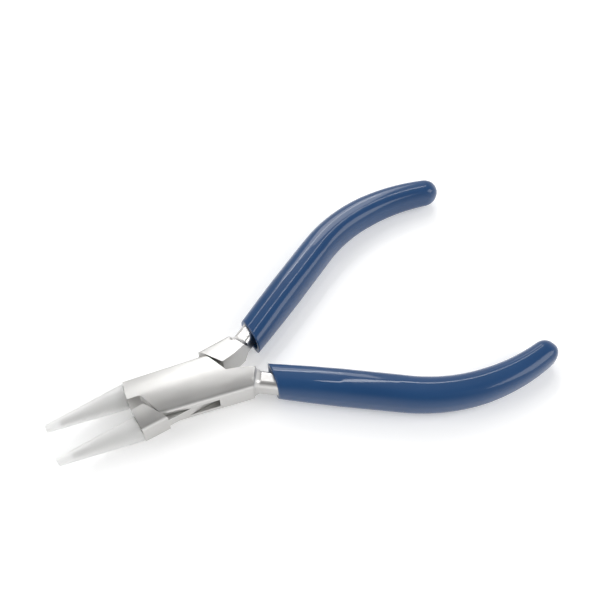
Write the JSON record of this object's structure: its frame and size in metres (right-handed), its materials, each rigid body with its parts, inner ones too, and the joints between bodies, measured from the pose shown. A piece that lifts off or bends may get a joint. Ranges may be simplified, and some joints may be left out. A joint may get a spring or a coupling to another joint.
{
  "type": "round nose pliers",
  "caption": "Box-joint round nose pliers with conical nylon jaw sleeves, a flush pivot rivet and long curved vinyl handle grips.",
  "frame": {"origin": "centre of the pivot, half way through the thickness of the joint", "axes": "+X from the pivot towards the handles, +Y towards the jaw of the box half, +Z along the pivot"},
  "size_m": [0.1391, 0.0792, 0.01],
  "materials": {
    "steel": "satin bright forged steel",
    "nylon": "milky translucent nylon",
    "vinyl": "glossy blue vinyl"
  },
  "bodies": {
    "box_side": {"box_half": "steel", "pivot_rivet": "steel", "box_jaw_sleeve": "nylon", "box_handle_grip": "vinyl"},
    "tongue_side": {"tongue_half": "steel", "tongue_jaw_sleeve": "nylon", "tongue_handle_grip": "vinyl"}
  },
  "joints": [
    {"name": "pivot", "type": "hinge", "parent": "box_side", "child": "tongue_side", "pos_m": [0, 0, 0], "axis": [0, 0, 1], "range_deg": [-12.4, 10]}
  ]
}
